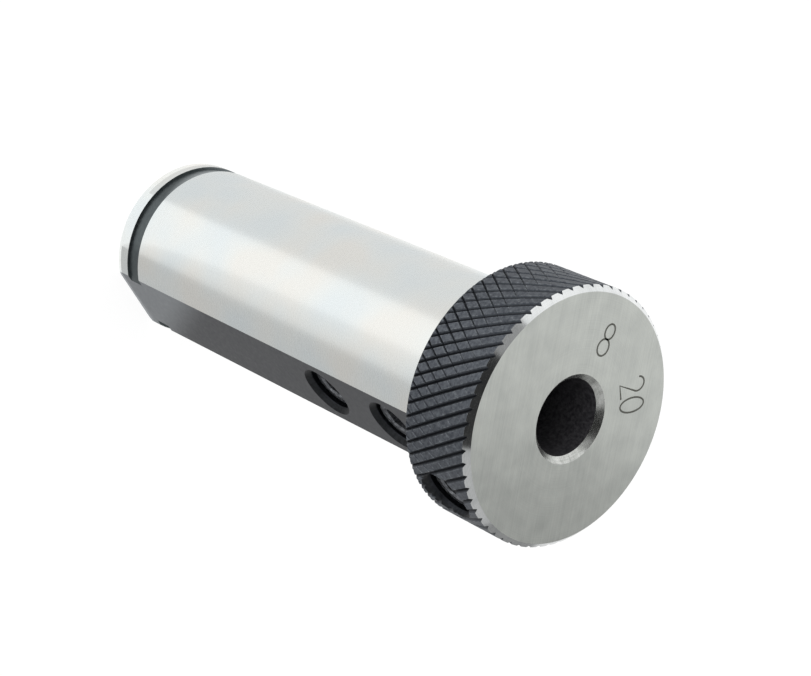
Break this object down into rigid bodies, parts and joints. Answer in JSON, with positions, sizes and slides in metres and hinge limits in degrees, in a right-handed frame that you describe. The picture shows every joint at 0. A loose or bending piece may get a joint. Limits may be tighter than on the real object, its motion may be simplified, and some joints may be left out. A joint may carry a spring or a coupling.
{
  "type": "adapter sleeve",
  "caption": "Round steel reducing sleeve with a knurled head, a through bore and a flat with set screws, which holds a small tool shank in a larger holder.",
  "frame": {"origin": "centre of the tail face, at the base of the standing sleeve", "axes": "+Z along the bore towards the head's face, -Y out of the flat with the screws"},
  "size_m": [0.0268, 0.0268, 0.0654],
  "materials": {
    "sleeve_steel": "ground and turned bright, black oxide on the flat, the ring groove and the knurl",
    "screw_steel": "black oxide"
  },
  "bodies": {
    "sleeve": {"sleeve_body": "sleeve_steel"},
    "rear_screw": {"set_screw_rear": "screw_steel"},
    "middle_screw": {"set_screw_middle": "screw_steel"},
    "head_screw": {"set_screw_head": "screw_steel"}
  },
  "joints": [
    {"name": "rear_screw_travel", "type": "slide", "parent": "sleeve", "child": "rear_screw", "axis": [0, 1, 0], "range_m": [-0.001, 0.0011]},
    {"name": "middle_screw_travel", "type": "slide", "parent": "sleeve", "child": "middle_screw", "axis": [0, 1, 0], "range_m": [-0.0008, 0.0013]},
    {"name": "head_screw_travel", "type": "slide", "parent": "sleeve", "child": "head_screw", "axis": [0, 1, 0], "range_m": [-0.00125, 0.00115]}
  ]
}
